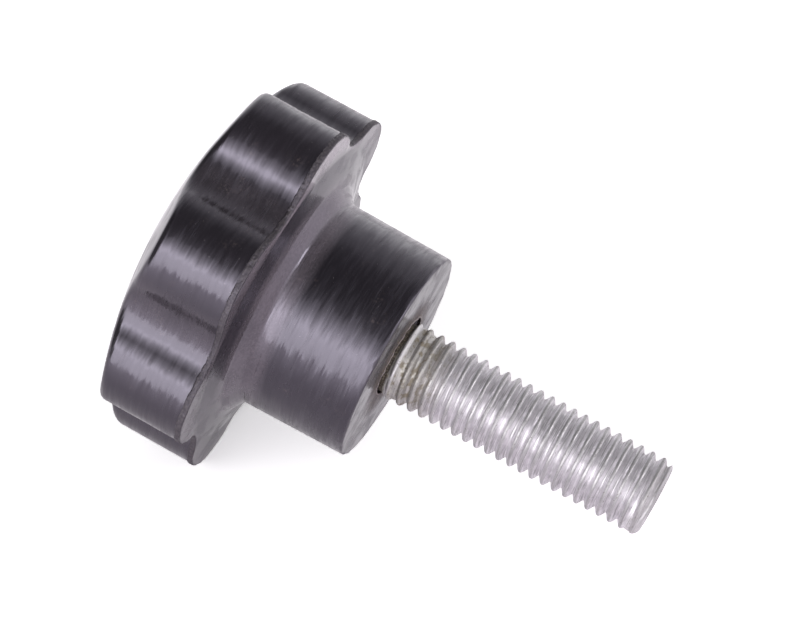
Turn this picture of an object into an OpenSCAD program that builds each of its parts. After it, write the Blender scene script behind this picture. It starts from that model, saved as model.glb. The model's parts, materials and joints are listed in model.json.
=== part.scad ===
// Thumb screw: a seven-lobed knob moulded in black phenolic round a zinc-plated M10 stud.
// It lies as it comes to rest on a level surface, on the rear edges of two lobes and on the
// stud's tip. X runs towards the tip, Z is up, and Z = 0 is the surface. Sizes are in mm.

/* [Head] */
// Number of lobes round the head
lobes = 7; // [6:1:8]
// Diameter over the lobes
head_d = 48; // [47:0.5:49]
// Diameter at the bottom of the flutes
flute_d = 40.2; // [39.6:0.2:40.8]
// Radius of a lobe's rounded nose
lobe_r = 7.2; // [7:0.1:7.4]
// Radius of the domed front face
dome_r = 60; // [58:1:80]
// Radius of the turned shoulder between the dome and the lobes
shoulder_r = 1.2; // [0.6:0.2:2]
// Width of the trimmed mould land at the rear edge of the lobes
land_w = 0.8; // [0.4:0.1:1.2]
// How far the land stands out from the lobes
land_out = 0.2; // [0.1:0.05:0.4]

/* [Hub] */
// Overall height of the knob, from the crown of the dome to the end of the hub
knob_h = 31.9; // [31:0.1:34]
// Height of the hub's end above the rear plane of the head
hub_h = 16; // [15.5:0.1:17]
// Diameter of the hub at its free end
hub_end_d = 26.6; // [25:0.2:26.8]
// Diameter of the hub where it meets the cone
hub_base_d = 27; // [26.8:0.1:28]
// Height of the cone at the foot of the hub, above the back face
cone_h = 1.5; // [1:0.1:2]
// Diameter of the foot of the cone
cone_d = 30.8; // [30:0.2:33]
// Height of the back face's slope, from the rear plane to the foot of the cone
slope_h = 0.8; // [0.4:0.1:1]
// Diameter at which the back face's slope starts
slope_d = 40; // [36:0.5:40]
// Bevel at the hub's end
hub_bevel = 0.3; // [0.1:0.1:0.6]
// Diameter of the shallow recess round the stud
recess_d = 11.2; // [10.6:0.2:13]
// Depth of the recess
recess_depth = 0.6; // [0.3:0.1:1.2]

/* [Stud] */
// Length of the stud outside the hub
stud_l = 35; // [20:1:60]
// Diameter over the crests of the thread
thread_d = 9.86; // [9.74:0.02:9.96]
// Diameter of the plain run-out, close to the thread's pitch diameter
runout_d = 8.96; // [8.8:0.02:9.02]
// Length of the run-out outside the hub
runout_l = 1.5; // [0.5:0.1:3]
// Bevel at the tip
tip_bevel = 0.9; // [0.5:0.1:1.2]

/* [Moulded-in end] */
// Length of the stud inside the knob
anchor_l = 18; // [14:0.5:20]
// Width across the flats of the two hexagon collars, which stop the stud turning
collar_af = 12.4; // [11:0.2:14]
// Length of the end collar
end_collar_l = 6; // [4:0.5:8]
// Length of the groove between the collars, which stops the stud pulling out
groove_l = 3; // [2:0.5:4]
// Diameter of the stud at the bottom of the groove
groove_d = 8; // [7:0.2:8.6]
// Length of the second collar
mid_collar_l = 4; // [2:0.5:5]

/* [Hidden] */
$fn = 96;
phenolic_colour = [0.17, 0.16, 0.17];
zinc_colour = [0.72, 0.73, 0.74];
eps = 0.01;

// Outline of the head: lobe circles and flute circles half a step apart. Each flute cuts into
// the lobes beside it by a hair, so that their faces cross instead of only touching.
hair = 0.02;
step = 360 / lobes;
lobe_c = head_d / 2 - lobe_r;
flute_floor = flute_d / 2;
flute_r = (pow(lobe_r - hair, 2) - pow(lobe_c, 2) - pow(flute_floor, 2)
           + 2 * lobe_c * flute_floor * cos(step / 2))
          / (2 * (flute_floor - lobe_c * cos(step / 2) - lobe_r + hair));
flute_c = flute_floor + flute_r;
nose_half = atan2(flute_c * sin(step / 2), flute_c * cos(step / 2) - lobe_c);

// Dome and shoulder, with Z measured from the hub's end towards the tip
dome_z = dome_r - knob_h;
shoulder_c = head_d / 2 - shoulder_r + 5 * hair;
shoulder_z = dome_z - sqrt(pow(dome_r - shoulder_r, 2) - pow(shoulder_c, 2));
shoulder_start = asin(shoulder_c / (dome_r - shoulder_r));

// Resting attitude: the plane that touches two lobes and the stud's last full crest
rest_r = lobe_c * cos(step / 2) + lobe_r + land_out;
dip = atan((rest_r - thread_d / 2) / (stud_l - tip_bevel + hub_h));
lift = rest_r * cos(dip) - hub_h * sin(dip);
x_far = stud_l * cos(dip) + (thread_d / 2 - tip_bevel) * sin(dip);
x_near = dome_z * cos(dip) - dome_r;

// Lays a piece made along Z down at rest, with a flute at the bottom, centred over the origin
module laid_down() {
    translate([-(x_far + x_near) / 2, 0, lift]) rotate([0, 90 + dip, 0]) children();
}

// Outline of the lobed head, grown outwards all round
module lobed_outline(grow = 0) {
    nose = lobe_r + grow;
    difference() {
        union() {
            polygon([for (i = [0:lobes - 1], side = [-1, 1])
                let (a = (i + 0.5) * step, b = a + side * nose_half, r = nose + 2 * hair)
                [lobe_c * cos(a) + r * cos(b), lobe_c * sin(a) + r * sin(b)]]);
            for (i = [0:lobes - 1]) rotate((i + 0.5) * step) translate([lobe_c, 0]) circle(nose);
        }
        for (i = [0:lobes - 1]) rotate(i * step) translate([flute_c, 0]) circle(flute_r - grow);
    }
}

// Turned envelope of the head: dome, shoulder and flat rear plane
module head_envelope() {
    rim = head_d / 2 + land_out + 1;
    rotate_extrude()
        polygon(concat(
            [for (k = [0:8]) let (a = shoulder_start * k / 8)
                [dome_r * sin(a), dome_z - dome_r * cos(a)]],
            [for (k = [1:6]) let (a = shoulder_start + (90 - shoulder_start) * k / 6)
                [shoulder_c + shoulder_r * sin(a), shoulder_z - shoulder_r * cos(a)]],
            [[rim, shoulder_z + 1], [rim, -hub_h], [0, -hub_h]]));
}

// Lobed head with its mould land
module head() {
    intersection() {
        head_envelope();
        union() {
            translate([0, 0, -knob_h - 1]) linear_extrude(knob_h - hub_h + 1 - land_w + eps)
                lobed_outline();
            translate([0, 0, -hub_h - land_w]) linear_extrude(land_w + 1) lobed_outline(land_out);
        }
    }
}

// Back face, cone and hub, turned as one
module hub() {
    foot_z = -hub_h + slope_h;
    rotate_extrude()
        polygon([[0, -hub_h - 1], [slope_d / 2, -hub_h - 1], [slope_d / 2, -hub_h],
            [cone_d / 2, foot_z], [hub_base_d / 2, foot_z + cone_h],
            [hub_end_d / 2, -hub_bevel], [hub_end_d / 2 - hub_bevel, 0], [0, 0]]);
}

// Stud as turned, before its thread: hexagon collars, groove, run-out and threaded length
module stud_blank() {
    mid_z = -anchor_l + end_collar_l + groove_l;
    neck_z = mid_z + mid_collar_l;
    translate([0, 0, -anchor_l]) cylinder(d = collar_af / cos(30), h = end_collar_l, $fn = 6);
    translate([0, 0, -anchor_l + end_collar_l - eps]) cylinder(d = groove_d, h = groove_l + 2 * eps);
    translate([0, 0, mid_z]) cylinder(d = collar_af / cos(30), h = mid_collar_l, $fn = 6);
    translate([0, 0, neck_z - eps]) cylinder(d = runout_d, h = runout_l - neck_z + 2 * eps);
    translate([0, 0, runout_l]) cylinder(d = thread_d, h = stud_l - tip_bevel - runout_l);
    translate([0, 0, stud_l - tip_bevel - eps])
        cylinder(d1 = thread_d, d2 = thread_d - 2 * tip_bevel, h = tip_bevel + eps);
}

module knob() {
    color(phenolic_colour) laid_down() difference() {
        union() {
            head();
            hub();
        }
        stud_blank();
        translate([0, 0, -recess_depth]) cylinder(d = recess_d, h = recess_depth + 1);
    }
}

module stud() {
    color(zinc_colour) laid_down() stud_blank();
}

knob();
stud();
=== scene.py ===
"""Thumb screw: a seven-lobed knob moulded in black phenolic round a zinc-plated M10 stud."""
import json
import math
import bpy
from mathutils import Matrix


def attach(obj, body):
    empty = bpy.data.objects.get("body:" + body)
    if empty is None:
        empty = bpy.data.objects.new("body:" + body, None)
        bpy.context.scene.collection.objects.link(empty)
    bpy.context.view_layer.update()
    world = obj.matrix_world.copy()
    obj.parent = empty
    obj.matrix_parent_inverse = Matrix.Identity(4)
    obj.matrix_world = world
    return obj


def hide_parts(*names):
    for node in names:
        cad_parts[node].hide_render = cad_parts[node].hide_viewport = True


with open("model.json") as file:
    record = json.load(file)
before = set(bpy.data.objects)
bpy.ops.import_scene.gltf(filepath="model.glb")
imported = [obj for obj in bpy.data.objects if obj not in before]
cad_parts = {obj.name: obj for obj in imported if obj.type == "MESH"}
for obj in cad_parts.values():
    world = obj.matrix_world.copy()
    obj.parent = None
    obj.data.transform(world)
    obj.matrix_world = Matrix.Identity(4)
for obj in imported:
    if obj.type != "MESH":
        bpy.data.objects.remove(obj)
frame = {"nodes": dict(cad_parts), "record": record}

from types import SimpleNamespace

import bmesh
import bpy
import numpy as np
from bpy.props import FloatProperty, FloatVectorProperty, IntProperty, PointerProperty
from mathutils import Matrix, Vector

bl_info = {
    "name": "Thumb Screw",
    "version": (1, 0, 0),
    "blender": (4, 5, 0),
    "location": "View3D > Sidebar > Thumb Screw",
    "description": "Builds a moulded lobed knob on a threaded stud, and a small studio round it",
    "category": "Add Mesh",
}

MM = 0.001
TURN = 2 * math.pi

# Where the screw lies: its axis runs from the knob to the stud's tip, and heights are measured
# along it from the middle of the hub's end. DOWN and SIDE are square to the axis.
MOUNTS = {mount["name"]: mount for mount in frame["record"]["mounts"]}
STUD_MIDDLE = np.array(MOUNTS["stud"]["pos_m"], float)
AXIS = np.array(MOUNTS["stud"]["axis"], float)
AXIS /= np.linalg.norm(AXIS)
SIDE = np.array([0.0, 1.0, 0.0])
DOWN = np.cross(SIDE, AXIS)
HUB_END = STUD_MIDDLE + AXIS * ((np.array(MOUNTS["hub_seat"]["pos_m"]) - STUD_MIDDLE) @ AXIS)


def heights(node):
    """Heights of a CAD node's vertices along the axis, in metres."""
    mesh = frame["nodes"][node].data
    points = np.empty(len(mesh.vertices) * 3)
    mesh.vertices.foreach_get("co", points)
    return (points.reshape(-1, 3) - HUB_END) @ AXIS


KNOB_HEIGHTS = heights("knob")
STUD_HEIGHTS = heights("stud")
THREAD_R = MOUNTS["stud"]["dims"]["r_mm"] * MM


# ---------------------------------------------------------------- settings

def length(name, description, default):
    """A size in metres that the sidebar shows in the scene's length unit."""
    return FloatProperty(name=name, description=description, default=default, min=0, max=0.2,
                         subtype="DISTANCE", unit="LENGTH", precision=5)


def colour(name, description, default):
    """A linear colour."""
    return FloatVectorProperty(name=name, description=description, default=default, size=3,
                               min=0, max=1, subtype="COLOR")


class KnobSizes(bpy.types.PropertyGroup):
    lobes: IntProperty(name="Lobes", description="Number of lobes round the head", default=7,
                       min=3, max=12)
    head_r: length("Head radius", "From the axis to the top of a lobe", 24 * MM)
    flute_floor: length("Flute floor radius", "From the axis to the bottom of a flute", 20.1 * MM)
    lobe_r: length("Lobe nose radius", "Rounding of a lobe", 7.2 * MM)
    crown: length("Crown depth", "From the hub's end to the top of the dome",
                  -float(KNOB_HEIGHTS.min()))
    dome_r: length("Dome radius", "Curvature of the front face", 60 * MM)
    roll_r: length("Front edge radius", "Rounding of the front edge", 1.2 * MM)
    rear: length("Rear plane depth", "From the hub's end to the rear plane of the head", 16 * MM)
    land_w: length("Land width", "Width of the trimmed land at the rear edge", 0.8 * MM)
    land_out: length("Land height", "How far the land stands out", 0.2 * MM)
    slope_r: length("Slope radius", "Where the back face starts to slope", 19.6 * MM)
    slope_h: length("Slope height", "Height of the back face's slope", 0.8 * MM)
    foot_r: length("Cone foot radius", "Foot of the cone round the hub", 15.4 * MM)
    cone_h: length("Cone height", "Height of the cone round the hub", 1.5 * MM)
    hub_base_r: length("Hub base radius", "Radius of the hub at the cone", 13.5 * MM)
    hub_end_r: length("Hub end radius", "Radius of the hub at its end", 13.3 * MM)
    hub_bevel: length("Hub edge rounding", "Rounding of the hub's end edge", 0.3 * MM)
    recess_r: length("Recess radius", "Radius of the recess round the stud", 5.6 * MM)
    recess_h: length("Recess depth", "Depth of the recess round the stud", 0.6 * MM)


class StudSizes(bpy.types.PropertyGroup):
    thread_r: length("Thread radius", "Radius over the crests", THREAD_R)
    thread_h: length("Thread depth", "Depth from crest to root", 0.83 * MM)
    pitch: length("Pitch", "Distance from crest to crest", 1.5 * MM)
    reach: length("Stud length", "From the hub's end to the tip", float(STUD_HEIGHTS.max()))
    neck_r: length("Neck radius", "Radius of the plain run-out", 4.48 * MM)
    neck_h: length("Run-out length", "Plain length outside the hub", 0.8 * MM)
    tip_bevel: length("Tip bevel", "Bevel at the tip", 0.9 * MM)
    anchor: length("Anchor length", "Length inside the knob", -float(STUD_HEIGHTS.min()))
    collar_af: length("Collar width", "Across the flats of the hexagon collars", 12.4 * MM)
    end_collar: length("End collar", "Length of the end collar", 6 * MM)
    groove: length("Groove", "Length of the groove between the collars", 3 * MM)
    groove_r: length("Groove radius", "Radius at the bottom of the groove", 4 * MM)
    mid_collar: length("Second collar", "Length of the second collar", 4 * MM)


class Finishes(bpy.types.PropertyGroup):
    phenolic: colour("Phenolic", "Colour of the moulded knob", (0.0060, 0.0048, 0.0065))
    land: colour("Trimmed land", "Colour of the rough, trimmed rear edge", (0.042, 0.035, 0.034))
    grime: colour("Grime", "Brown dirt on the hub's end, round the stud", (0.12, 0.088, 0.055))
    zinc: colour("Zinc", "Colour of the plated stud", (0.78, 0.75, 0.79))


# ---------------------------------------------------------------- shapes

# In what follows, k holds the knob's sizes and s the stud's, in millimetres. A local point is
# x along DOWN, y along SIDE and z along AXIS, from the middle of the hub's end.

def in_mm(group):
    """The sizes of a property group, with lengths in millimetres."""
    sizes = SimpleNamespace()
    for key, prop in group.bl_rna.properties.items():
        if prop.type == "FLOAT":
            setattr(sizes, key, getattr(group, key) / MM)
        elif prop.type == "INT":
            setattr(sizes, key, getattr(group, key))
    return sizes


def ripples(points, wavelength, seed, waves=24):
    """Smooth noise of about -1 to 1: a sum of cosine waves that run in random directions with
    random phases, and whose lengths lie round the one given. The sum is divided by its usual
    size, which is the root of half the number of waves, and by a margin."""
    rng = np.random.default_rng(seed)
    headings = rng.normal(size=(waves, 3))
    headings /= np.linalg.norm(headings, axis=1, keepdims=True)
    headings *= TURN / wavelength * rng.uniform(0.6, 1.5, (waves, 1))
    phases = rng.uniform(0, TURN, waves)
    margin = 1.6
    return np.cos(points @ headings.T + phases).sum(-1) * math.sqrt(2 / waves) / margin


def ease(value, low, high):
    """A smooth step from 0 at low to 1 at high."""
    t = np.clip((value - low) / (high - low), 0, 1)
    return t * t * (3 - 2 * t)


def scooped(points, centres, radii):
    """Points inside any of the balls are pushed out to that ball's surface, away from its
    centre, which leaves a shallow hollow where the ball dips into the piece."""
    moved = points.copy()
    flat = moved.reshape(-1, 3)
    for centre, radius in zip(centres, radii):
        away = flat - centre
        distance = np.linalg.norm(away, axis=1)
        inside = distance < radius
        flat[inside] = centre + away[inside] * (radius / distance[inside])[:, None]
    return moved


def lobed_outline(k, count):
    """Points and outward normals of the head's outline, evenly spaced along it.

    Each lobe is an arc about a centre inside it and each flute an arc about a centre outside,
    half a step apart. The two touch, so the normal turns one way along the lobe by an angle
    `nose`, and back again along the flute."""
    half = math.pi / k.lobes
    lobe_c = k.head_r - k.lobe_r
    flute_r = ((k.lobe_r ** 2 - lobe_c ** 2 - k.flute_floor ** 2
                + 2 * lobe_c * k.flute_floor * math.cos(half))
               / (2 * (k.flute_floor - lobe_c * math.cos(half) - k.lobe_r)))
    flute_c = k.flute_floor + flute_r
    nose = math.atan2(flute_c * math.sin(half), flute_c * math.cos(half) - lobe_c)
    lobe_arc = k.lobe_r * nose
    flute_arc = flute_r * (nose - half)

    turn = np.arange(count) * k.lobes / count
    lobe = np.floor(turn)
    across = 2 * (turn - lobe) - 1
    way = np.abs(across) * (lobe_arc + flute_arc)
    on_lobe = way < lobe_arc
    lean = np.where(on_lobe, way / k.lobe_r, nose - (way - lobe_arc) / flute_r)
    x = np.where(on_lobe, lobe_c + k.lobe_r * np.cos(lean),
                 flute_c * math.cos(half) - flute_r * np.cos(lean))
    y = np.where(on_lobe, k.lobe_r * np.sin(lean),
                 flute_c * math.sin(half) - flute_r * np.sin(lean))
    flip = np.sign(across) + (across == 0)
    angle = (lobe + 0.5) * 2 * half
    cos, sin = np.cos(angle), np.sin(angle)

    def turned(u, v):
        return np.stack([u * cos - v * flip * sin, u * sin + v * flip * cos], -1)

    return turned(x, y), turned(np.cos(lean), np.sin(lean))


def hexagon(angle, across_flats):
    """Distance from the middle to the edge of a hexagon that has a corner at angle 0."""
    sixth = TURN / 6
    return across_flats / 2 / np.cos(np.mod(angle, sixth) - sixth / 2)


# Points round the knob: the same number for each lobe
KNOB_COLUMNS = 7 * 122
# How far the knob's skin lies inside its nominal size, in millimetres
INSET = 0.016
# How much polish each flute has lost, starting at the lowest one
RUBBED = (0.5, 0.6, 0.4, 0.5, 0.8, 0.8, 0.6)
# How far to one side of each flute's bottom the dull band lies, and half the band's width
DUST_SHIFT = np.radians((3, 3, 3, 3, 4, -5, 3))
DUST_REACH = math.radians(11.0)
# How much of the light film lies on the back of each lobe, starting beside the lowest flute.
# The film is partly dust and partly painted sheen; the upper lobe's back is lightened most
BACK_DUST_AND_SHEEN = (0.2, 0.2, 0.35, 1.3, 0.45, 0.3, 0.15)
# How dull the top of each lobe is, starting beside the lowest flute
LOBE_DULL = (0.1, 0.1, 0.2, 0.12, 0.08, 0.12, 0.2)
# The side on which the recess is narrower, and by how much, in millimetres
NARROW_SIDE = math.radians(-18.0)
NARROWED = 0.62
# Bevel in the corner of the recess's floor, in millimetres
RECESS_CORNER = 0.08
# Where the rows of each face lie, as shares of the way along it
DOME_PARTS = (0, 0.04, 0.12, 0.22, 0.34, 0.46, 0.58, 0.7, 0.8, 0.88, 0.94, 0.98, 1)
SIDE_PARTS = (0.1, 0.25, 0.4, 0.55, 0.7, 0.82, 0.9, 0.94, 0.965, 0.98, 0.992)
BACK_PARTS = (0.08, 0.25, 0.5, 0.75, 0.93, 1.0)
HUB_PARTS = (0.12, 0.3, 0.5, 0.7, 0.88, 1.0)
# How far the valley of a flute reaches above the flute's floor, in millimetres
VALLEY = 1.6
# How much of a flute's lost polish also shows as the light film of dust and painted sheen
SIDE_DUST_AND_SHEEN = 0.13
# The land: how far its front line wanders, its steps up from the side, as shares of its height
# and distances behind that line, and its chamfer and how far that varies, in millimetres
LAND_WANDER = 0.07
LAND_STEPS = ((0.35, 0.02), (0.85, 0.07), (1.0, 0.16))
LAND_CHAMFER = 0.15
CHAMFER_WANDER = 0.06
# The burr round the recess: distance outside the recess and height, in millimetres
BURR = ((0.2, 0.02), (0.07, 0.13), (-0.06, 0.2), (-0.16, 0.15), (-0.12, 0.0))
# Chips in the rear edge: how many, the least and greatest radius and depth, and where they lie
# along the axis from the rear plane, in millimetres
CHIPS = 110
CHIP_RADII = (0.16, 0.36)
CHIP_DEPTHS = (0.02, 0.12)
CHIP_HEIGHTS = (-0.6, 0.1)
# Blisters in the hub's end: distance from the axis, angle, radius and height (below 0: a dent)
BLISTERS = ((8.9, 2.01, 0.42, -0.05), (7.3, 2.22, 0.4, -0.05), (6.3, -0.62, 0.3, -0.04),
            (11.0, -0.75, 0.25, -0.03))
# Width of the bell curve that shapes a blister's ring, in millimetres
BLISTER_W = 0.16


def knob_surface(k, s):
    """The whole skin of the knob as rows of points round the axis, from the crown of the dome,
    over the rolled front edge, down the lobed side, over the land, across the back face, up the
    cone and the hub, and down through the recess to the bottom of the cavity round the stud.

    A row is a height and a ring. A ring is the lobed outline moved along its normals, or a
    circle, or a hexagon. Also returns how much each point belongs to the rough land, to the worn
    edges, to the places that have lost their polish and to the film of dust and painted sheen."""
    outline, normal = lobed_outline(k, KNOB_COLUMNS)
    radius = np.hypot(*outline.T)
    ray = outline / radius[:, None]
    angle = np.arctan2(ray[:, 1], ray[:, 0])
    # How far down in a flute each point lies, and how its place round the axis wears and dusts it
    valley = ease(radius, k.flute_floor + VALLEY, k.flute_floor)
    step_round = TURN / k.lobes
    flute = np.mod(np.round(angle * k.lobes / TURN), k.lobes).astype(int)
    shift = np.interp(flute, np.arange(len(DUST_SHIFT)), DUST_SHIFT)
    beside = np.mod(angle + step_round / 2, step_round) - step_round / 2 - shift
    settled = ease(np.abs(beside), DUST_REACH, DUST_REACH * 0.4)
    lobe_middles = (np.arange(len(BACK_DUST_AND_SHEEN)) + 0.5) * step_round
    back_dust = np.interp(angle, lobe_middles, BACK_DUST_AND_SHEEN, period=TURN)
    lobe_dull = (1 - valley) * np.interp(angle, lobe_middles, LOBE_DULL, period=TURN)
    rubbed = np.maximum(settled * np.interp(flute, np.arange(len(RUBBED)), RUBBED), lobe_dull)
    rows, masks = [], []

    def row(height, ring, land=0.0, worn=0.0, dull=0.0, dust_and_sheen=0.0):
        height = np.broadcast_to(height, radius.shape)
        rows.append(np.column_stack([ring, height]))
        masks.append([np.broadcast_to(mask, radius.shape) for mask in (land, worn, dull, dust_and_sheen)])

    def circle(size):
        return ray * np.broadcast_to(size, radius.shape)[:, None]

    def moved_out(offset):
        return outline + normal * np.broadcast_to(offset, radius.shape)[:, None]

    def on_dome(ring):
        return k.dome_r - k.crown + INSET - np.sqrt(k.dome_r ** 2 - np.sum(ring ** 2, -1))

    # Dome: the inset outline shrinks towards the crown, and its height follows the sphere
    lean = np.arctan(np.tan(np.arcsin(radius / k.dome_r)) * np.sum(normal * ray, -1))
    edge = moved_out(-k.roll_r * (1 - np.sin(lean)))
    for part in DOME_PARTS:
        row(on_dome(edge * part), edge * part, worn=0.3 * part ** 6)
    # Rolled edge: an arc that starts at the dome's slope and ends upright
    top = on_dome(edge)
    for part in np.arange(1, 9) / 8:
        tilt = lean + (math.pi / 2 - lean) * part
        row(top + k.roll_r * (np.cos(lean) - np.cos(tilt)),
            moved_out(k.roll_r * np.sin(tilt) - k.roll_r),
            worn=0.3 + 0.3 * math.sin(math.pi * part),
            dull=rubbed * part, dust_and_sheen=SIDE_DUST_AND_SHEEN * rubbed * part)
    start = top + k.roll_r * np.cos(lean)
    # Side
    step = np.column_stack([outline, np.zeros(len(outline))])
    ragged = 0.5 * ripples(step, 1.6, 11) + 0.5 * ripples(step, 0.5, 12)
    end = -k.rear - k.land_w - LAND_WANDER * ragged
    for part in SIDE_PARTS:
        row(start + (end - start) * part, outline, worn=0.25 * (1 - part) ** 2,
            dull=rubbed, dust_and_sheen=SIDE_DUST_AND_SHEEN * rubbed)
    # Land: stands out from the side by a varying amount, with pitted faces
    proud = np.minimum(k.land_out * (0.72 + 0.28 * ripples(step, 3.5, 13)), k.land_out)
    row(end, outline, land=0.15, dull=0.6)
    for out, height in LAND_STEPS:
        row(end + height, moved_out(proud * out), land=1.0, dull=1.0)
    proud_from = end + LAND_STEPS[-1][1]
    chamfer = LAND_CHAMFER + CHAMFER_WANDER * ripples(step, 0.9, 14)
    low = -k.rear - 0.12 * valley
    for part in (0.4, 0.7, 1.0):
        row(proud_from * (1 - part) + (low - chamfer) * part, moved_out(proud),
            land=1.0, dull=1.0)
    for part in (1 / 3, 2 / 3, 1):
        bend = part * math.pi / 2
        row(low - chamfer * (1 - math.sin(bend)),
            moved_out(proud - chamfer * (1 - math.cos(bend))),
            land=1 - 0.5 * part, worn=0.8, dull=1 - 0.6 * part)
    # Back face: flat over the lobes, then a shallow slope inside a circle. The film of dust and
    # painted sheen lightens it, most on the upper lobe's back
    rim = moved_out(proud - chamfer)
    foot = -k.rear + k.slope_h
    shallow = k.slope_h / (k.slope_r - k.foot_r)
    for part in BACK_PARTS:
        row(low * (1 - part) - k.rear * part, rim * (1 - part) + circle(k.slope_r) * part,
            land=0.3 * (part < 0.1), dull=0.35, dust_and_sheen=back_dust * (1 - part ** 3))
    for size in (k.slope_r - 0.25, k.slope_r - 1.2, k.slope_r - 2.6):
        row(-k.rear + (k.slope_r - size) * shallow, circle(size), dull=0.35, dust_and_sheen=0.05)
    # Cone and hub, with small blends at both ends of the cone. The cone carries some of the film of
    # dust and painted sheen
    stem = foot + k.cone_h + 1.2
    stem_r = k.hub_base_r - 0.02
    for size, height in blend_path(
            [(k.foot_r + 0.6, foot - 0.6 * shallow), (k.foot_r, foot),
             (k.hub_base_r, foot + k.cone_h), (stem_r, stem)], (0.3, 0.45), 5):
        row(height, circle(size), dull=0.4, dust_and_sheen=0.3)
    for part in HUB_PARTS:
        row(stem * (1 - part) - k.hub_bevel * 1.4 * part,
            circle(stem_r * (1 - part) + k.hub_end_r * part),
            worn=0.4 * float(part == 1), dull=0.15 + 0.4 * part)
    bevel = k.hub_bevel * (1 + 0.35 * ripples(step * 0.6, 2.5, 15))
    for part in np.arange(1, 6) / 5:
        bend = part * math.pi / 2
        row(-bevel * (1 - math.sin(bend)), circle(k.hub_end_r - bevel * (1 - math.cos(bend))),
            worn=math.sin(math.pi * part), dull=0.7)
    for size in np.linspace(k.hub_end_r - 0.6, k.recess_r + 0.3, 20):
        row(0.0, circle(size), dull=0.35, dust_and_sheen=0.05)
    # Recess round the stud, and the cavity that holds the stud's end
    burr = 0.6 + 0.4 * ripples(step * 0.3, 2.0, 16)
    lip = k.recess_r - NARROWED * ease(np.cos(angle - NARROW_SIDE), 0.35, 0.95)
    for size, height in BURR:
        row(height * burr, circle(lip + size), worn=1.5 * float(size < 0.1), dull=0.6)
    for size, height in ((lip, -0.1), (lip, -k.recess_h + RECESS_CORNER),
                         (lip - RECESS_CORNER, -k.recess_h)):
        row(height, circle(size), dull=1.0, dust_and_sheen=0.25)
    row(-k.recess_h, circle(s.neck_r), dull=1.0)
    for ring, height in anchor_rings(s, angle)[::-1]:
        row(height, circle(ring))
    row(-s.anchor, circle(0.0))

    land, worn, dull, dust_and_sheen = np.swapaxes(np.array(masks), 0, 1)
    return (roughened(k, np.array(rows), land),
            {"land": land, "worn": worn, "dull": dull, "dust_and_sheen": dust_and_sheen})


def roughened(k, grid, land):
    """Small flaws: a faint waviness all over, ripples on the land, chips along the rear edge, and
    blisters on the hub's end. A chip is a ball's hollow. A blister is a shallow ring whose depth
    follows a bell curve of the distance from it."""
    size = np.hypot(grid[..., 0], grid[..., 1])
    inner = size > k.recess_r + 0.25
    away = grid[..., :2] / np.maximum(size, 1e-6)[..., None]
    wave = 0.006 * ripples(grid, 4.5, 21) + 0.004 * ripples(grid, 2.2, 22)
    rough = land * (0.05 * ripples(grid, 0.55, 23) - 0.03)
    grid = grid.copy()
    grid[..., :2] += away * (np.where(inner, wave + rough, 0) - INSET * inner)[..., None]
    rng = np.random.default_rng(31)
    outline, normal = lobed_outline(k, 4096)
    where = rng.integers(0, len(outline), CHIPS)
    ball = rng.uniform(*CHIP_RADII, len(where))
    depth = rng.uniform(*CHIP_DEPTHS, len(where))
    height = rng.uniform(-k.rear + CHIP_HEIGHTS[0], -k.rear + CHIP_HEIGHTS[1], len(where))
    away_by = (k.land_out + ball - depth)[:, None]
    centres = np.column_stack([outline[where] + normal[where] * away_by, height])
    grid = scooped(grid, centres, ball)
    flat = inner & (size < k.hub_end_r - 0.45) & (grid[..., 2] > -0.01)
    sunk = -0.012 + 0.006 * ripples(grid, 1.1, 24)
    for middle, turn, ring, rise in BLISTERS:
        spot = middle * np.array([math.cos(turn), math.sin(turn)])
        off = np.hypot(grid[..., 0] - spot[0], grid[..., 1] - spot[1])
        sunk = sunk + rise * np.exp(-((off - ring) / BLISTER_W) ** 2)
    grid[..., 2] += np.where(flat, np.minimum(sunk, 0), 0)
    return grid


def blend_path(corners, sizes, steps):
    """A path of straight lines through the corners, whose inner corners are replaced by smooth
    bends: each bend is a parabola that starts and ends the given size away from its corner."""
    corners = [np.array(c, float) for c in corners]
    path = [corners[0]]
    for before, corner, after, size in zip(corners, corners[1:], corners[2:], sizes):
        back = corner + (before - corner) * min(size / np.linalg.norm(before - corner), 0.5)
        on = corner + (after - corner) * min(size / np.linalg.norm(after - corner), 0.5)
        for t in np.arange(steps + 1) / steps:
            path.append(back * (1 - t) ** 2 + corner * 2 * t * (1 - t) + on * t ** 2)
    path.append(corners[-1])
    return path


def anchor_rings(s, angle):
    """Radius and height of each ring of the stud's moulded-in end, from its bottom to the neck:
    a hexagon collar, a round groove, a second hexagon collar."""
    hexed = hexagon(angle, s.collar_af)
    low, high = -s.anchor + s.end_collar, -s.anchor + s.end_collar + s.groove
    neck = high + s.mid_collar
    return [(hexed, -s.anchor), (hexed, low), (s.groove_r, low), (s.groove_r, high),
            (hexed, high), (hexed, neck), (s.neck_r, neck)]


# Points round the stud, and rows from one crest to the next
STUD_COLUMNS = 168
ROWS_PER_TURN = 22
# Height of a crest at angle 0, in millimetres
CREST_START = 1.481
# The crest's share of the flat left by the flanks. The root has the rest
CREST_SHARE = 0.7
# How softly the thread's crests and roots are rounded, in millimetres
THREAD_SOFT = 0.10
# The first thread's share of the full depth
FIRST_DEPTH = 0.35
# The side on which the thread's last root is filled, and by how much of its depth
FILLED_SIDE = math.radians(322.0)
FILLED = 0.75
# Radius of the tip's rounded edge, as a multiple of the tip's bevel
TIP_ROUNDING = 1.25


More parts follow.
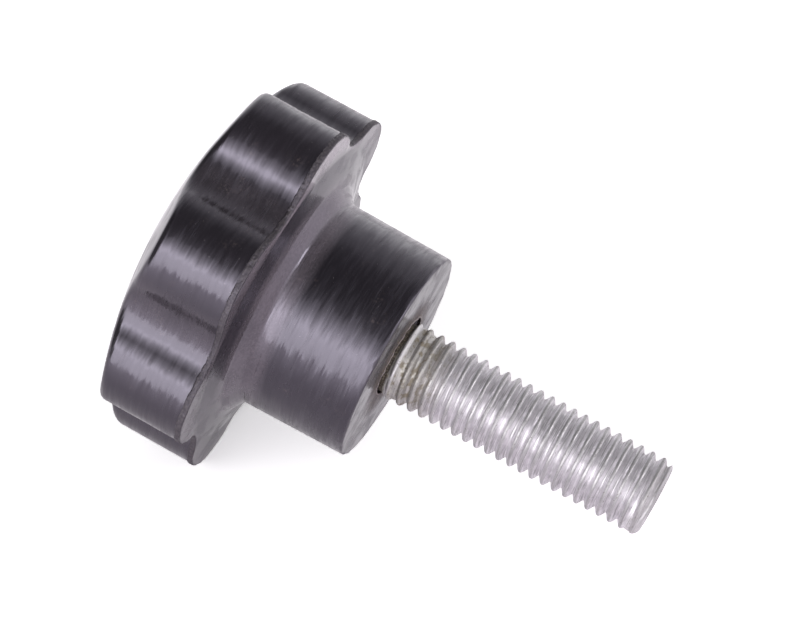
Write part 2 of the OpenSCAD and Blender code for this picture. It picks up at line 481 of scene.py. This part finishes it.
def thread_profile(s, phase):
    """Depth below the crest, at a share `phase` of a pitch past a crest: a narrow crest, flanks
    at 30 degrees to a plane square to the axis, and a narrow root.

    The flank's straight line is held above 0 and below the root's depth by soft limits, which
    round both corners. A soft limit is the logarithm of 1 plus the exponential."""
    away = np.abs(np.mod(phase + 0.5, 1) - 0.5)
    slope = math.tan(math.radians(60)) * s.pitch
    root = s.thread_h
    crest_half = (0.5 - root / slope) * CREST_SHARE
    straight = (away - crest_half) * slope
    raised = THREAD_SOFT * np.logaddexp(0, straight / THREAD_SOFT)
    return root - THREAD_SOFT * np.logaddexp(0, (root - raised) / THREAD_SOFT)


def stud_surface(s):
    """The stud outside the knob as rows of points, and how deep in the thread each point lies.

    The thread's rows climb by one pitch each turn, so that each row keeps its place on the crest,
    a flank or the root. They are held between the neck and the tip, where rows that would pass
    the end gather on the last ring. The thread starts shallow above the neck, and near the tip
    its root is nearly filled on one side. The tip's edge is a quarter of a circle."""
    turn = np.arange(STUD_COLUMNS) / STUD_COLUMNS
    angle = turn * TURN
    start, stop = s.neck_h * 0.15, s.reach
    first = math.floor((start - CREST_START) / s.pitch) - 1
    last = math.ceil((stop - CREST_START) / s.pitch) + 1
    count = (last - first) * ROWS_PER_TURN
    phase = first + np.arange(count + 1) / ROWS_PER_TURN
    height = CREST_START + s.pitch * (phase[:, None] + turn)
    held = np.clip(height, start, stop)
    size = s.thread_r - thread_profile(s, phase[:, None] + 0 * turn)
    cut_in = ease(held, s.neck_h + 0.8, s.neck_h + 3.4)
    shallow = FIRST_DEPTH + (1 - FIRST_DEPTH) * cut_in
    filled = ease(held, s.reach - 3.0, s.reach - 1.5) * ease(np.cos(angle - FILLED_SIDE), 0.1, 0.9)
    shallow = shallow * (1 - FILLED * filled)
    size = np.maximum(size, s.thread_r - s.thread_h * shallow)
    cut = ease(held, s.neck_h * 0.25, s.neck_h * 0.8)
    size = s.neck_r * (1 - cut) + size * cut
    nose_r = TIP_ROUNDING * s.tip_bevel
    from_tip = np.clip((s.reach - held) / nose_r, 0, 1)
    nose = s.thread_r - nose_r * (1 - np.sqrt(1 - (1 - from_tip) ** 2))
    size = np.minimum(size, nose)
    grid = np.stack([size * np.cos(angle), size * np.sin(angle), held], -1)
    root = np.clip((s.thread_r - size) / s.thread_h, 0, 1)
    return grid, root


def thread_faces(rows, columns, shift):
    """Quads of a grid whose last column joins its first one `shift` rows further on."""
    i, j = np.meshgrid(np.arange(rows - 1), np.arange(columns), indexing="ij")
    after = np.where(j == columns - 1, 0, j + 1)
    step = np.where(j == columns - 1, shift, 0)
    top = rows - 1
    a = i * columns + j
    b = np.minimum(i + step, top) * columns + after
    c = np.minimum(i + 1 + step, top) * columns + after
    d = (i + 1) * columns + j
    return np.stack([a, b, c, d], -1).reshape(-1, 4)


def ring_faces(rows, columns):
    """Quads of a grid that closes on itself round the axis."""
    return thread_faces(rows, columns, 0)


def add_mesh(name, points, faces, attributes=None):
    """A mesh object in the screw's place from local points in millimetres. Points that share a
    place are merged, so that poles and gathered rows close, and faces point outwards."""
    world = (HUB_END + MM * (points[:, :1] * DOWN + points[:, 1:2] * SIDE + points[:, 2:] * AXIS))
    mesh = bpy.data.meshes.new(name)
    mesh.from_pydata(world, [], faces.tolist())
    for key, values in (attributes or {}).items():
        layer = mesh.attributes.new(key, "FLOAT", "POINT")
        layer.data.foreach_set("value", np.asarray(values, np.float32).ravel())
    mesh.update()
    tidy(mesh)
    mesh.polygons.foreach_set("use_smooth", np.ones(len(mesh.polygons), bool))
    piece = bpy.data.objects.new(name, mesh)
    bpy.context.scene.collection.objects.link(piece)
    return piece


def tidy(mesh):
    """Merges points that share a place, drops faces without area and turns faces outwards."""
    work = bmesh.new()
    work.from_mesh(mesh)
    bmesh.ops.remove_doubles(work, verts=work.verts, dist=1e-7)
    bmesh.ops.dissolve_degenerate(work, edges=work.edges, dist=1e-7)
    bmesh.ops.recalc_face_normals(work, faces=work.faces)
    if work.calc_volume(signed=True) < 0:
        bmesh.ops.reverse_faces(work, faces=work.faces)
    work.to_mesh(mesh)
    work.free()


# ---------------------------------------------------------------- materials

class Graph:
    """A short way to write a node tree."""

    def __init__(self, tree):
        self.tree = tree
        tree.nodes.clear()

    def node(self, kind, inputs=None, **settings):
        """A node with its settings, and its inputs linked or set."""
        node = self.tree.nodes.new(kind)
        for key, value in settings.items():
            setattr(node, key, value)
        for key, value in (inputs or {}).items():
            self.feed(node.inputs[key], value)
        return node

    def feed(self, socket, value):
        """Links a socket to another one, or sets its value."""
        if isinstance(value, bpy.types.NodeSocket):
            self.tree.links.new(value, socket)
        else:
            socket.default_value = value

    def math(self, operation, *values, clamp=False):
        """One operation on one or two numbers."""
        node = self.node("ShaderNodeMath", operation=operation, use_clamp=clamp)
        for socket, value in zip(node.inputs, values):
            self.feed(socket, value)
        return node.outputs[0]

    def plus(self, a, b):
        """The sum of two numbers."""
        return self.math("ADD", a, b)

    def times(self, a, b):
        """The product of two numbers."""
        return self.math("MULTIPLY", a, b)

    def mapped(self, value, low, high, to_low=0.0, to_high=1.0):
        """value from low..high to to_low..to_high, with soft ends."""
        return self.node("ShaderNodeMapRange", {"Value": value, "From Min": low, "From Max": high,
                                                "To Min": to_low, "To Max": to_high},
                         interpolation_type="SMOOTHSTEP").outputs[0]

    def vector(self, operation, *values, scale=None):
        """One operation on one or two vectors."""
        node = self.node("ShaderNodeVectorMath", operation=operation)
        for socket, value in zip(node.inputs, values):
            self.feed(socket, value)
        if scale is not None:
            self.feed(node.inputs["Scale"], scale)
        return node.outputs[0]

    def mask(self, name):
        """A mask that the mesh carries."""
        return self.node("ShaderNodeAttribute", attribute_name=name).outputs["Fac"]

    def mix(self, factor, a, b):
        """Colour a to colour b by factor."""
        node = self.node("ShaderNodeMix", data_type="RGBA")
        sockets = [node.inputs[0], node.inputs[6], node.inputs[7]]
        for socket, value in zip(sockets, (factor, a, b)):
            self.feed(socket, (*value, 1) if isinstance(value, tuple) else value)
        return node.outputs[2]

    def screw_place(self):
        """Place on the screw in millimetres: x and y across its axis, z along it."""
        turn = Matrix((DOWN, SIDE, AXIS)).transposed().to_euler()
        spot = self.node("ShaderNodeTexCoord").outputs["Object"]
        return self.node("ShaderNodeMapping", {"Vector": spot, "Location": HUB_END.tolist(),
                                               "Rotation": turn, "Scale": (MM, MM, MM)},
                         vector_type="TEXTURE").outputs[0]

    def stretched(self, place, across, along):
        """The place with its axes scaled, so that a pattern of size 1 is across mm and along mm."""
        return self.node("ShaderNodeMapping", {"Vector": place,
                                               "Scale": (1 / across, 1 / across, 1 / along)},
                         vector_type="POINT").outputs[0]

    def noise(self, place, detail=2.0, roughness=0.5):
        """Cloudy noise round 0.5, whose blobs have the size that the place was stretched to."""
        return self.node("ShaderNodeTexNoise", {"Vector": place, "Scale": 1.0, "Detail": detail,
                                                "Roughness": roughness}).outputs["Fac"]


def new_material(name):
    """An empty material and the graph that fills it."""
    material = bpy.data.materials.new(name)
    material.use_nodes = True
    return material, Graph(material.node_tree)


def phenolic_material(finish):
    """Black moulded phenolic: polished, with hairline scratches that run round the axis, specks
    of dust, a rough land, brown stains by the stud, light scuffs on the edges, and a light lilac
    film that is partly dust and partly painted sheen, most on the back of the upper lobe."""
    material, g = new_material("black_phenolic")
    place = g.screw_place()
    apart = g.node("ShaderNodeSeparateXYZ", {"Vector": place})
    x, y, z = apart.outputs
    out = g.math("POWER", g.plus(g.times(x, x), g.times(y, y)), 0.5)
    fine = g.noise(g.stretched(place, 5, 0.32), detail=3, roughness=0.6)
    streaks = g.noise(g.stretched(place, 6, 0.8), detail=2)
    marks = g.noise(g.stretched(place, 3.5, 0.45), detail=2, roughness=0.6)
    broad = g.noise(g.stretched(place, 6, 2.4), detail=2, roughness=0.5)
    haze = g.noise(g.stretched(place, 7, 7), detail=2)
    crumbs = g.noise(g.stretched(place, 0.30, 0.30), detail=3, roughness=0.6)
    land = g.mask("land")
    worn = g.mask("worn")
    dull = g.mask("dull")
    dust_and_sheen = g.mask("dust_and_sheen")
    land_mask = g.mapped(g.plus(land, g.times(crumbs, 0.6)), 0.75, 1.05)
    wear_mask = g.mapped(g.plus(worn, g.times(fine, 0.6)), 0.75, 1.3)
    stain = g.times(g.mapped(z, -0.5, -0.02),
                    g.mapped(g.plus(out, g.times(crumbs, 3.0)), 10.5, 7.5))
    dust = g.times(g.mapped(g.noise(g.stretched(place, 2.5, 2.5), detail=3), 0.56, 0.75),
                   g.mapped(crumbs, 0.5, 0.7))
    specks = g.node("ShaderNodeTexVoronoi", {"Vector": g.stretched(place, 1.4, 1.4)})
    chosen = g.node("ShaderNodeSeparateColor", {"Color": specks.outputs["Color"]})
    speck = g.times(g.mapped(specks.outputs["Distance"], 0.09, 0.05),
                    g.mapped(chosen.outputs[0], 0.90, 0.93))
    rough = g.mapped(marks, 0.40, 0.62, 0.045, 0.20)
    rough = g.plus(rough, g.mapped(broad, 0.42, 0.70, 0.0, 0.08))
    rough = g.plus(rough, g.times(dull, g.mapped(streaks, 0.35, 0.65, 0.13, 0.20)))
    rough = g.plus(rough, g.times(land_mask, 0.3))
    rough = g.plus(rough, g.times(stain, 0.35))
    rough = g.plus(rough, g.times(wear_mask, 0.12))
    body = g.mix(g.mapped(haze, 0.4, 0.8, 0, 0.35), tuple(finish.phenolic), (0.012, 0.009, 0.013))
    # A light lilac film, partly dust and partly painted sheen: it lightens the backs of the lobes,
    # most the upper one, and the flutes, the cone and the recess
    dust_and_sheen_film = g.times(dust_and_sheen, g.mapped(g.plus(haze, crumbs), 0.7, 1.3, 0.5, 1.0))
    body = g.mix(dust_and_sheen_film, body, (0.32, 0.27, 0.31))
    body = g.mix(g.times(wear_mask, 0.35), body, (0.06, 0.055, 0.06))
    earth = g.mix(g.mapped(crumbs, 0.42, 0.60), (0.012, 0.009, 0.009), tuple(finish.land))
    body = g.mix(land_mask, body, earth)
    soil = g.mix(g.mapped(crumbs, 0.40, 0.62), (0.016, 0.011, 0.009), tuple(finish.grime))
    body = g.mix(g.times(stain, 0.9), body, soil)
    body = g.mix(g.mapped(worn, 1.1, 1.4), body, (0.22, 0.19, 0.18))
    body = g.mix(g.times(dust, 0.25), body, (0.16, 0.12, 0.11))
    body = g.mix(speck, body, (0.45, 0.42, 0.42))
    # Fine polishing marks run round the axis, and tip the surface a little both ways
    flat = g.node("ShaderNodeNewGeometry").outputs["Normal"]
    around = g.vector("CROSS_PRODUCT", tuple(AXIS), flat)
    upright = g.mapped(g.node("ShaderNodeVectorMath", {0: around}, operation="LENGTH")
                       .outputs["Value"], 0.7, 0.97)
    tilt = g.math("SUBTRACT", g.plus(g.times(fine, 0.5), g.times(streaks, 0.5)), 0.5)
    strength = g.plus(0.29, g.times(dull, 0.08))
    tilted = g.vector("NORMALIZE", g.vector(
        "ADD", flat, g.vector("SCALE", around, scale=g.times(tilt, strength))))
    height = g.times(upright, g.plus(g.times(fine, 0.035), g.times(streaks, 0.08)))
    height = g.plus(height, g.times(g.times(crumbs, land_mask), 0.15))
    height = g.plus(height, g.times(g.times(crumbs, dull), 0.006))
    bump = g.node("ShaderNodeBump", {"Strength": 1.0, "Distance": MM, "Height": height,
                                     "Normal": tilted})
    shader = g.node("ShaderNodeBsdfPrincipled",
                    {"Base Color": body, "Roughness": rough, "IOR": 1.9,
                     "Specular Tint": (0.89, 0.82, 1.0, 1), "Normal": bump.outputs[0]})
    g.node("ShaderNodeOutputMaterial", {"Surface": shader.outputs[0]})
    return material


def zinc_material(finish, tip):
    """Bright zinc plating with fine lines along the thread, dull and brown near the hub, and
    grainy at the tip, whose height is given in millimetres. Inside the recess the neck is dark
    brown and not metallic: partly packed dirt and partly painted shade."""
    material, g = new_material("zinc_plate")
    place = g.screw_place()
    lines = g.noise(g.stretched(place, 4, 0.15), detail=2.5, roughness=0.65)
    mottle = g.noise(g.stretched(place, 0.8, 0.8), detail=3, roughness=0.6)
    grain = g.noise(g.stretched(place, 0.22, 0.22), detail=2, roughness=0.6)
    root = g.mask("root")
    along = g.node("ShaderNodeSeparateXYZ", {"Vector": place}).outputs["Z"]
    near = g.mapped(g.plus(along, g.times(mottle, 7.0)), 11.5, 6.0)
    collar = g.times(g.mapped(along, 0.62, 0.75), g.mapped(along, 1.35, 1.1))
    gap = g.mapped(g.plus(along, g.times(mottle, 0.3)), 0.65, 0.50)
    blotch = g.noise(g.stretched(place, 1.1, 0.7), detail=3, roughness=0.6)
    dirt = g.times(near, g.mapped(g.plus(g.times(root, 0.1), blotch), 0.50, 0.66, 0.0, 0.85))
    bloom = g.times(near, g.mapped(mottle, 0.54, 0.66, 0.0, 0.6))
    nick = g.mapped(g.plus(g.times(root, -0.12), grain), 0.60, 0.70)
    body = g.mix(g.mapped(mottle, 0.35, 0.7), tuple(finish.zinc), (0.64, 0.62, 0.65))
    body = g.mix(g.mapped(lines, 0.50, 0.64, 0.0, 0.7), body, (0.32, 0.31, 0.32))
    crest = g.mapped(g.plus(root, g.times(grain, 0.25)), 0.30, 0.12)
    body = g.mix(g.times(crest, 0.6), body, (0.26, 0.25, 0.26))
    body = g.mix(g.times(near, 0.6), body, (0.36, 0.34, 0.31))
    body = g.mix(dirt, body, (0.20, 0.165, 0.115))
    body = g.mix(bloom, body, (0.62, 0.60, 0.56))
    body = g.mix(collar, body, (0.66, 0.64, 0.66))
    cast = g.mapped(along, tip - 2.2, tip - 0.8)
    body = g.mix(g.times(cast, 0.45), body, (0.42, 0.40, 0.41))
    body = g.mix(g.times(nick, 0.7), body, (0.10, 0.08, 0.07))
    # The neck inside the recess: dark brown, partly packed dirt and partly painted shade of the
    # recess, and not metallic
    gap_dirt_and_shade = g.mix(g.mapped(grain, 0.45, 0.65), (0.045, 0.034, 0.026), (0.19, 0.155, 0.125))
    body = g.mix(gap, body, gap_dirt_and_shade)
    rough = g.mapped(lines, 0.35, 0.7, 0.33, 0.55)
    rough = g.plus(rough, g.times(near, 0.12))
    rough = g.plus(rough, g.times(cast, 0.1))
    height = g.plus(g.times(lines, 0.035), g.times(mottle, 0.012))
    height = g.plus(height, g.times(g.times(grain, near), 0.05))
    height = g.plus(height, g.times(g.times(grain, cast), 0.07))
    height = g.math("SUBTRACT", height, g.times(nick, 0.02))
    bump = g.node("ShaderNodeBump", {"Strength": 1.0, "Distance": MM, "Height": height})
    metal = g.math("SUBTRACT", 0.84, g.math("MAXIMUM", g.times(dirt, 0.7), gap), clamp=True)
    shader = g.node("ShaderNodeBsdfPrincipled",
                    {"Base Color": body, "Roughness": rough, "Metallic": metal,
                     "Normal": bump.outputs[0]})
    g.node("ShaderNodeOutputMaterial", {"Surface": shader.outputs[0]})
    return material


# ---------------------------------------------------------------- studio

# The floor's colour for the light that it throws back, its colour as it is seen, and how much it
# glows as it is seen, so that it stays white
PAPER = (0.84, 0.78, 0.84)
PAPER_SEEN = (1.4, 1.37, 1.4)
GLOW_SEEN = 0.34
# Half the floor's width, in metres
FLOOR_HALF = 4.0
# Where the camera stands, seen from what it looks at, and its focal length in millimetres
VIEW_AZIMUTH = math.radians(24.915)
VIEW_ELEVATION = math.radians(34.502)
VIEW_ROLL = math.radians(1.39)
VIEW_DISTANCE = 0.34827
VIEW_CENTRE = Vector((-0.001148, 0.002470, 0.019653))
LENS = 131.5
# Heading of the room's dark corner, and how bright it still is
DARK_CORNER = (-0.90, -0.12, 0.42)
CORNER_LEVEL = 0.15
# Each lamp: middle, direction it faces, roll in degrees, width and height, brightness
KEY_LAMP = ((-0.003, -0.6, 0.314), (0, 1, 0), -22, (0.98, 0.908), 3.4)
SIDE_LAMP = ((0.55, 0.0, 0.33), (-0.86, 0, -0.5), 0, (0.26, 0.24), 4.0)
# Brightness of the room from the floor up to the ceiling
SKY_LEVELS = ((0.0, 1.35), (0.20, 1.25), (0.30, 1.05), (0.42, 0.84), (0.56, 0.62), (0.68, 0.51),
              (0.80, 0.38), (0.89, 0.22), (0.95, 0.14), (1.0, 0.12))
# Brightness of the key lamp from its lower edge to its upper edge
KEY_LEVELS = ((0.0, 0.52), (0.151, 0.53), (0.20, 0.60), (0.315, 0.71), (0.382, 0.80),
              (0.41, 0.87), (0.431, 1.0), (0.468, 1.0), (0.53, 0.80), (0.596, 0.54),
              (0.6685, 0.36), (0.749, 0.24), (0.888, 0.13), (1.0, 0.07))
# How much the floor adds to what the screw mirrors, from 0.2 m in front of it to 0.1 m behind
FLOOR_LEVELS = ((0.0, 0.65), (0.27, 0.60), (0.43, 0.38), (0.52, 0.14), (0.60, 0.14), (0.667, 0.32),
                (0.73, 0.38), (0.83, 0.48), (1.0, 0.55))


def add_floor():
    """A pale floor, lit by the lamps and a little by itself, so that it stays white and keeps
    the soft shadow."""
    mesh = bpy.data.meshes.new("floor")
    corners = [(x * FLOOR_HALF, y * FLOOR_HALF, 0) for x, y in ((-1, -1), (1, -1), (1, 1), (-1, 1))]
    mesh.from_pydata(corners, [], [(0, 1, 2, 3)])
    floor = bpy.data.objects.new("floor", mesh)
    bpy.context.scene.collection.objects.link(floor)
    material, g = new_material("floor_paper")
    rays = g.node("ShaderNodeLightPath").outputs
    seen = rays["Is Camera Ray"]
    mirrored = g.math("MAXIMUM", rays["Is Glossy Ray"], rays["Is Transmission Ray"])
    tone = g.mix(seen, PAPER, PAPER_SEEN)
    paper = g.node("ShaderNodeBsdfDiffuse", {"Color": tone})
    place = g.node("ShaderNodeTexCoord").outputs["Object"]
    behind = g.node("ShaderNodeSeparateXYZ", {"Vector": place}).outputs["Y"]
    reach = g.node("ShaderNodeMapRange", {"Value": behind, "From Min": -0.2, "From Max": 0.1})
    ramp = g.node("ShaderNodeValToRGB", {"Fac": reach.outputs[0]})
    set_levels(ramp, FLOOR_LEVELS)
    strength = g.plus(g.times(seen, GLOW_SEEN), g.times(mirrored, ramp.outputs[0]))
    glow = g.node("ShaderNodeEmission", {"Color": (1, 1, 1, 1), "Strength": strength})
    white = g.node("ShaderNodeAddShader")
    g.tree.links.new(paper.outputs[0], white.inputs[0])
    g.tree.links.new(glow.outputs[0], white.inputs[1])
    g.node("ShaderNodeOutputMaterial", {"Surface": white.outputs[0]})
    mesh.materials.append(material)


def add_world():
    """A white room whose walls fade to a dark ceiling, with one dark corner."""
    world = bpy.data.worlds.new("studio")
    world.use_nodes = True
    bpy.context.scene.world = world
    g = Graph(world.node_tree)
    heading = g.node("ShaderNodeTexCoord").outputs["Generated"]
    up = g.node("ShaderNodeSeparateXYZ", {"Vector": heading}).outputs["Z"]
    ramp = g.node("ShaderNodeValToRGB", {"Fac": up})
    set_levels(ramp, SKY_LEVELS)
    corner = g.node("ShaderNodeVectorMath", {0: heading, 1: DARK_CORNER}, operation="DOT_PRODUCT")
    dark = g.mapped(corner.outputs["Value"], 0.72, 0.93, 1.0, CORNER_LEVEL)
    sky = g.node("ShaderNodeBackground", {"Color": ramp.outputs[0], "Strength": dark})
    g.node("ShaderNodeOutputWorld", {"Surface": sky.outputs[0]})


def set_levels(ramp, levels):
    """Gives a ramp a grey level at each place."""
    points = ramp.color_ramp.elements
    while len(points) < len(levels):
        points.new(0.5)
    for point, (spot, level) in zip(points, levels):
        point.position = spot
        point.color = (level, level, level, 1)


def add_lamp(name, middle, toward, roll, size, radiance, levels=()):
    """A soft rectangular lamp that faces along `toward`, rolled by some degrees. Levels, if any,
    fade it from its lower edge to its upper edge."""
    data = bpy.data.lights.new(name, "AREA")
    data.shape = "RECTANGLE"
    data.size, data.size_y = size
    data.energy = radiance * math.pi * size[0] * size[1]
    if levels:
        data.use_nodes = True
        g = Graph(data.node_tree)
        across = g.node("ShaderNodeNewGeometry").outputs["Parametric"]
        up = g.node("ShaderNodeSeparateXYZ", {"Vector": across}).outputs["Y"]
        ramp = g.node("ShaderNodeValToRGB", {"Fac": up})
        set_levels(ramp, levels)
        glow = g.node("ShaderNodeEmission", {"Color": ramp.outputs[0]})
        g.node("ShaderNodeOutputLight", {"Surface": glow.outputs[0]})
    lamp = bpy.data.objects.new(name, data)
    face = Vector(toward).to_track_quat("-Z", "Y").to_matrix().to_4x4()
    lamp.matrix_world = (Matrix.Translation(middle) @ face
                         @ Matrix.Rotation(math.radians(roll), 4, "Z"))
    lamp.visible_camera = False
    bpy.context.scene.collection.objects.link(lamp)


def add_camera():
    """The camera looks at the screw from the near right, a little above, with a slight roll."""
    flat = math.cos(VIEW_ELEVATION)
    forward = Vector((-math.sin(VIEW_AZIMUTH) * flat, math.cos(VIEW_AZIMUTH) * flat,
                      -math.sin(VIEW_ELEVATION)))
    level = forward.cross(Vector((0, 0, 1))).normalized()
    above = level.cross(forward)
    right = level * math.cos(VIEW_ROLL) - above * math.sin(VIEW_ROLL)
    up = right.cross(forward)
    data = bpy.data.cameras.new("camera")
    data.lens = LENS
    data.sensor_width = 36
    data.clip_start = 0.01
    camera = bpy.data.objects.new("camera", data)
    turn = Matrix((right, up, -forward)).transposed()
    camera.matrix_world = Matrix.Translation(VIEW_CENTRE - forward * VIEW_DISTANCE) @ turn.to_4x4()
    bpy.context.scene.collection.objects.link(camera)
    bpy.context.scene.camera = camera


# ---------------------------------------------------------------- operators

class OBJECT_OT_moulded_knob(bpy.types.Operator):
    """Builds the lobed knob with its worn finish"""
    bl_idname = "object.moulded_knob"
    bl_label = "Moulded Knob"

    def execute(self, context):
        settings = context.scene.thumb_screw
        k, s = in_mm(settings.knob), in_mm(settings.stud)
        grid, masks = knob_surface(k, s)
        faces = ring_faces(*grid.shape[:2])
        piece = add_mesh("moulded_knob", grid.reshape(-1, 3), faces, masks)
        piece.data.materials.append(phenolic_material(settings.finish))
        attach(piece, "root")
        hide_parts("knob")
        return {"FINISHED"}


class OBJECT_OT_threaded_stud(bpy.types.Operator):
    """Builds the stud with its full thread"""
    bl_idname = "object.threaded_stud"
    bl_label = "Threaded Stud"

    def execute(self, context):
        settings = context.scene.thumb_screw
        s = in_mm(settings.stud)
        angle = np.arange(STUD_COLUMNS) / STUD_COLUMNS * TURN
        thread, root = stud_surface(s)
        rings = [(0.0, -s.anchor)] + anchor_rings(s, angle)
        rings.append((s.neck_r, thread[0, 0, 2]))
        base = np.array([np.column_stack([size * np.cos(angle), size * np.sin(angle),
                                          np.full(STUD_COLUMNS, height)])
                         for size, height in rings])
        end_r = np.hypot(*thread[-1, 0, :2])
        cap = np.array([np.column_stack([size * np.cos(angle), size * np.sin(angle),
                                         np.full(STUD_COLUMNS, s.reach)])
                        for size in (end_r, end_r * 0.6, 0.0)])
        parts = [base, thread, cap]
        counts = np.cumsum([0] + [len(part) * STUD_COLUMNS for part in parts])
        faces = np.concatenate([ring_faces(len(base), STUD_COLUMNS),
                                thread_faces(len(thread), STUD_COLUMNS, ROWS_PER_TURN) + counts[1],
                                ring_faces(len(cap), STUD_COLUMNS) + counts[2]])
        points = np.concatenate([part.reshape(-1, 3) for part in parts])
        root = np.concatenate([np.zeros(counts[1]), root.ravel(), np.zeros(counts[3] - counts[2])])
        piece = add_mesh("threaded_stud", points, faces, {"root": root})
        piece.data.materials.append(zinc_material(settings.finish, s.reach))
        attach(piece, "root")
        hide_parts("stud")
        return {"FINISHED"}


class OBJECT_OT_thumb_screw_studio(bpy.types.Operator):
    """Adds the floor, the lamps, the room and the camera"""
    bl_idname = "object.thumb_screw_studio"
    bl_label = "Studio"

    def execute(self, context):
        context.scene.view_settings.view_transform = "Standard"
        add_floor()
        add_world()
        add_lamp("key", *KEY_LAMP, KEY_LEVELS)
        add_lamp("side", *SIDE_LAMP)
        add_camera()
        return {"FINISHED"}


class VIEW3D_PT_thumb_screw(bpy.types.Panel):
    """Sizes, finishes and the steps that build the thumb screw"""
    bl_idname = "VIEW3D_PT_thumb_screw"
    bl_label = "Thumb Screw"
    bl_space_type = "VIEW_3D"
    bl_region_type = "UI"
    bl_category = "Thumb Screw"

    def draw(self, context):
        settings = context.scene.thumb_screw
        for group in (settings.knob, settings.stud, settings.finish):
            column = self.layout.box().column()
            for key in group.bl_rna.properties.keys():
                if key not in ("rna_type", "name"):
                    column.prop(group, key)
        for operator in STEPS:
            self.layout.operator(operator.bl_idname)


class ThumbScrewSettings(bpy.types.PropertyGroup):
    knob: PointerProperty(type=KnobSizes)
    stud: PointerProperty(type=StudSizes)
    finish: PointerProperty(type=Finishes)


STEPS = (OBJECT_OT_moulded_knob, OBJECT_OT_threaded_stud, OBJECT_OT_thumb_screw_studio)
CLASSES = (KnobSizes, StudSizes, Finishes, ThumbScrewSettings, *STEPS, VIEW3D_PT_thumb_screw)


def register():
    for cls in CLASSES:
        bpy.utils.register_class(cls)
    bpy.types.Scene.thumb_screw = PointerProperty(type=ThumbScrewSettings)


def unregister():
    del bpy.types.Scene.thumb_screw
    for cls in reversed(CLASSES):
        bpy.utils.unregister_class(cls)


def main():
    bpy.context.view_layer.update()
    register()
    bpy.ops.object.moulded_knob()
    bpy.ops.object.threaded_stud()
    bpy.ops.object.thumb_screw_studio()


if __name__ == "__main__":
    main()
